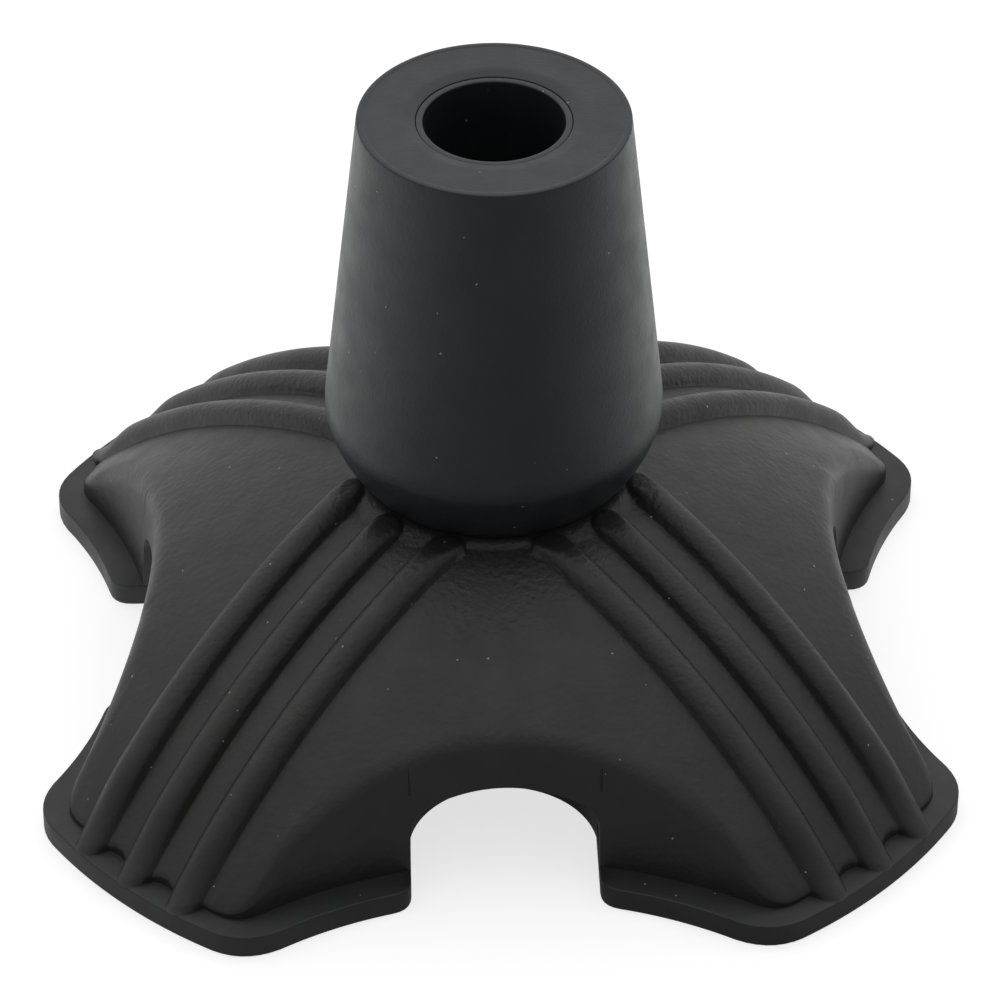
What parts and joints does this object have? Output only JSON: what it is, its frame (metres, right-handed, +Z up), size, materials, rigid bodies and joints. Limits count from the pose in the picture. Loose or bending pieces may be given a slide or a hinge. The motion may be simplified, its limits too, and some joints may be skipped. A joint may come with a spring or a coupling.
{
  "type": "quad cane tip",
  "caption": "Free-standing rubber cane tip: a domed base on ribbed legs with sole pads, a flexible neck and a tapered stem whose lined socket takes a round cane shaft.",
  "frame": {"origin": "on the floor, under the axis of the stem", "axes": "+Z up along the stem; the four feet lie on the diagonals between X and Y; a notch faces each of -Y, +Y, -X and +X"},
  "size_m": [0.1264, 0.1264, 0.092],
  "materials": {
    "base_rubber": "matt moulded black rubber, lightly stippled",
    "sole_rubber": "matt black rubber with a tread",
    "neck_rubber": "matt black rubber",
    "stem_rubber": "fine-grained matt black rubber",
    "liner": "satin black",
    "disc_steel": "zinc-plated, dull"
  },
  "bodies": {
    "base": {"base_shell": "base_rubber", "pad_front_left": "sole_rubber", "pad_front_right": "sole_rubber", "pad_back_left": "sole_rubber", "pad_back_right": "sole_rubber"},
    "neck": {"neck_lower": "neck_rubber", "neck_upper": "neck_rubber"},
    "stem": {"stem_cone": "stem_rubber", "socket_liner": "liner", "socket_disc": "disc_steel"}
  },
  "joints": [
    {"name": "lean_fore_aft", "type": "hinge", "parent": "base", "child": "neck", "pos_m": [0, 0, 0.041], "axis": [1, 0, 0], "range_deg": [-8, 8], "stiffness_Nm_per_rad": 8, "deforming": ["neck_lower"]},
    {"name": "lean_sideways", "type": "hinge", "parent": "neck", "child": "stem", "pos_m": [0, 0, 0.041], "axis": [0, 1, 0], "range_deg": [-8, 8], "stiffness_Nm_per_rad": 8, "deforming": ["neck_upper"]}
  ]
}
